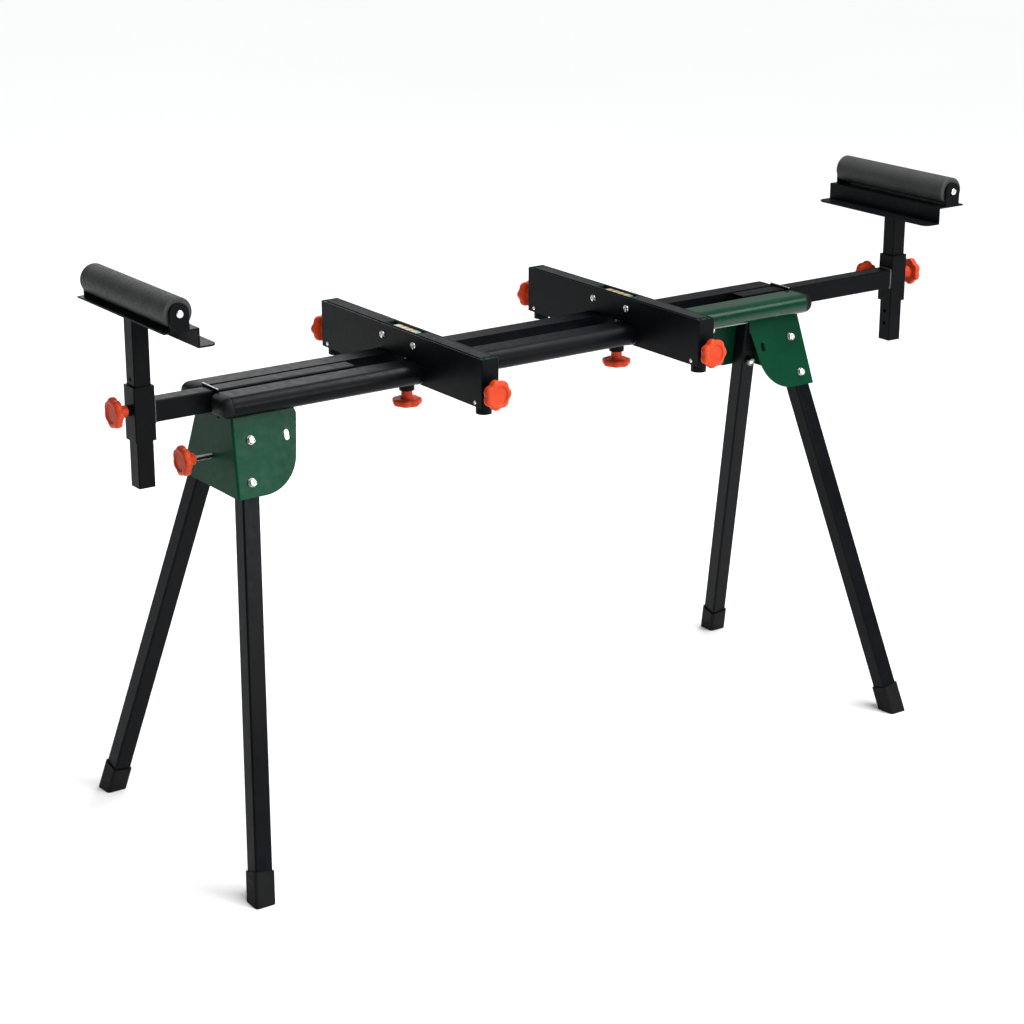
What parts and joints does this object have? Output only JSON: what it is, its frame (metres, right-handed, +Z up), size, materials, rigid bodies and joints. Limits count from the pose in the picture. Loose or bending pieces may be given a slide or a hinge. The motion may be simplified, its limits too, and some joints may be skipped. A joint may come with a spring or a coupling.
{
  "type": "folding mitre saw stand",
  "caption": "Folding mitre saw stand with splayed legs, twin rails, sliding cross-bars and extension arms carrying height-adjustable work rollers.",
  "frame": {"origin": "on the floor, under the middle of the stand's overall length and width as set", "axes": "+X along the rails towards the further-extended arm, +Y from the near rail (the one with the green sleeve) to the other, +Z up"},
  "size_m": [1.5464, 0.5106, 0.8774],
  "materials": {
    "black_powder": "satin black powder coat",
    "green_powder": "satin dark green powder coat",
    "black_plastic": "matte moulded black plastic",
    "boot_rubber": "matte black rubber",
    "grip_strip": "dark grey textured strip",
    "striped_insert": "tan insert with pale stripes",
    "orange_plastic": "semi-gloss orange-red plastic",
    "zinc": "bright zinc plate",
    "bright_rod": "polished rod",
    "roller_cover": "fine-grained grey cover"
  },
  "bodies": {
    "frame": {"front_rail": "black_powder", "rear_rail": "black_powder", "front_rail_sleeve": "green_powder", "rail_end_caps": "black_plastic", "left_leg_bracket": "green_powder", "right_leg_bracket": "green_powder", "channel_end_plates": "black_powder", "arm_guides": "black_plastic", "leg_bolts": "zinc", "leg_nuts": "zinc"},
    "front_left_leg_set": {"front_left_leg": "black_powder", "front_left_foot": "boot_rubber"},
    "front_right_leg_set": {"front_right_leg": "black_powder", "front_right_foot": "boot_rubber"},
    "rear_left_leg_set": {"rear_left_leg": "black_powder", "rear_left_foot": "boot_rubber"},
    "rear_right_leg_set": {"rear_right_leg": "black_powder", "rear_right_foot": "boot_rubber"},
    "left_arm": {"left_arm_tube": "black_powder", "left_collar": "black_powder"},
    "left_post_set": {"left_post": "black_powder", "left_roller_bracket": "black_powder", "left_roller_axle": "zinc"},
    "left_roller": {"left_roller_tube": "black_powder", "left_roller_sleeve": "roller_cover"},
    "left_bar": {"left_bar_shell": "black_powder", "left_bar_channel": "green_powder", "left_bar_grip": "grip_strip", "left_bar_level": "striped_insert", "left_bar_sockets": "black_powder", "left_bar_screws": "zinc", "left_bar_clamp": "black_powder"},
    "left_collar_knob": {"left_collar_knob": "orange_plastic"},
    "left_lock_knob": {"left_lock_knob": "orange_plastic", "left_lock_rod": "bright_rod"},
    "left_bar_front_knob": {"left_bar_front_knob": "orange_plastic"},
    "left_bar_rear_knob": {"left_bar_rear_knob": "orange_plastic"},
    "left_bar_clamp_knob": {"left_bar_clamp_knob": "orange_plastic"},
    "right_arm": {"right_arm_tube": "black_powder", "right_collar": "black_powder"},
    "right_post_set": {"right_post": "black_powder", "right_roller_bracket": "black_powder", "right_roller_axle": "zinc"},
    "right_roller": {"right_roller_tube": "black_powder", "right_roller_sleeve": "roller_cover"},
    "right_bar": {"right_bar_shell": "black_powder", "right_bar_channel": "green_powder", "right_bar_grip": "grip_strip", "right_bar_level": "striped_insert", "right_bar_sockets": "black_powder", "right_bar_screws": "zinc", "right_bar_clamp": "black_powder"},
    "right_collar_knob": {"right_collar_knob": "orange_plastic"},
    "right_lock_knob": {"right_lock_knob": "orange_plastic", "right_lock_rod": "bright_rod"},
    "right_bar_front_knob": {"right_bar_front_knob": "orange_plastic"},
    "right_bar_rear_knob": {"right_bar_rear_knob": "orange_plastic"},
    "right_bar_clamp_knob": {"right_bar_clamp_knob": "orange_plastic"},
    "right_arm_knob": {"right_arm_knob": "orange_plastic"}
  },
  "joints": [
    {"name": "front_left_leg_fold", "type": "hinge", "parent": "frame", "child": "front_left_leg_set", "pos_m": [-0.584, -0.046, 0.629], "axis": [0, -0.9564, 0.292], "range_deg": [0, 99.1]},
    {"name": "front_right_leg_fold", "type": "hinge", "parent": "frame", "child": "front_right_leg_set", "pos_m": [0.441, -0.046, 0.629], "axis": [0, 0.9564, -0.292], "range_deg": [0, 93.1]},
    {"name": "rear_left_leg_fold", "type": "hinge", "parent": "frame", "child": "rear_left_leg_set", "pos_m": [-0.584, 0.046, 0.629], "axis": [0, -0.9564, -0.292], "range_deg": [0, 99.1]},
    {"name": "rear_right_leg_fold", "type": "hinge", "parent": "frame", "child": "rear_right_leg_set", "pos_m": [0.441, 0.046, 0.629], "axis": [0, 0.9564, 0.292], "range_deg": [0, 93.1]},
    {"name": "left_arm_slide", "type": "slide", "parent": "frame", "child": "left_arm", "axis": [-1, 0, 0], "range_m": [-0.036, 0.143]},
    {"name": "left_post_slide", "type": "slide", "parent": "left_arm", "child": "left_post_set", "axis": [0, 0, 1], "range_m": [-0.085, 0.075]},
    {"name": "left_roller_spin", "type": "hinge", "parent": "left_post_set", "child": "left_roller", "pos_m": [-0.7265, 0, 0.855], "axis": [0, 1, 0], "continuous": true},
    {"name": "left_bar_slide", "type": "slide", "parent": "frame", "child": "left_bar", "axis": [1, 0, 0], "range_m": [-0.035, 0.16]},
    {"name": "left_collar_knob_turn", "type": "hinge", "parent": "left_arm", "child": "left_collar_knob", "pos_m": [-0.7675, 0, 0.69], "axis": [-1, 0, 0], "range_deg": [0, 450]},
    {"name": "left_lock_knob_turn", "type": "hinge", "parent": "frame", "child": "left_lock_knob", "pos_m": [-0.6625, 0, 0.6005], "axis": [-1, 0, 0], "range_deg": [0, 450]},
    {"name": "left_bar_front_knob_turn", "type": "hinge", "parent": "left_bar", "child": "left_bar_front_knob", "pos_m": [-0.2755, -0.241, 0.692], "axis": [0, -1, 0], "range_deg": [0, 450]},
    {"name": "left_bar_rear_knob_turn", "type": "hinge", "parent": "left_bar", "child": "left_bar_rear_knob", "pos_m": [-0.2755, 0.241, 0.692], "axis": [0, 1, 0], "range_deg": [0, 450]},
    {"name": "left_bar_clamp_knob_turn", "type": "hinge", "parent": "left_bar", "child": "left_bar_clamp_knob", "pos_m": [-0.2755, 0, 0.6265], "axis": [0, 0, -1], "range_deg": [0, 450]},
    {"name": "right_arm_slide", "type": "slide", "parent": "frame", "child": "right_arm", "axis": [1, 0, 0], "range_m": [-0.179, 0]},
    {"name": "right_post_slide", "type": "slide", "parent": "right_arm", "child": "right_post_set", "axis": [0, 0, 1], "range_m": [-0.085, 0.075]},
    {"name": "right_roller_spin", "type": "hinge", "parent": "right_post_set", "child": "right_roller", "pos_m": [0.7265, 0, 0.855], "axis": [0, 1, 0], "continuous": true},
    {"name": "right_bar_slide", "type": "slide", "parent": "frame", "child": "right_bar", "axis": [-1, 0, 0], "range_m": [-0.035, 0.16]},
    {"name": "right_collar_knob_turn", "type": "hinge", "parent": "right_arm", "child": "right_collar_knob", "pos_m": [0.7675, 0, 0.69], "axis": [1, 0, 0], "range_deg": [0, 450]},
    {"name": "right_lock_knob_turn", "type": "hinge", "parent": "frame", "child": "right_lock_knob", "pos_m": [0.503, 0, 0.6005], "axis": [1, 0, 0], "range_deg": [0, 450]},
    {"name": "right_bar_front_knob_turn", "type": "hinge", "parent": "right_bar", "child": "right_bar_front_knob", "pos_m": [0.1265, -0.241, 0.692], "axis": [0, -1, 0], "range_deg": [0, 450]},
    {"name": "right_bar_rear_knob_turn", "type": "hinge", "parent": "right_bar", "child": "right_bar_rear_knob", "pos_m": [0.1265, 0.241, 0.692], "axis": [0, 1, 0], "range_deg": [0, 450]},
    {"name": "right_bar_clamp_knob_turn", "type": "hinge", "parent": "right_bar", "child": "right_bar_clamp_knob", "pos_m": [0.1265, 0, 0.6265], "axis": [0, 0, -1], "range_deg": [0, 450]},
    {"name": "right_arm_knob_turn", "type": "hinge", "parent": "right_arm", "child": "right_arm_knob", "pos_m": [0.7005, 0.04, 0.686], "axis": [0, 1, 0], "range_deg": [0, 450]}
  ]
}
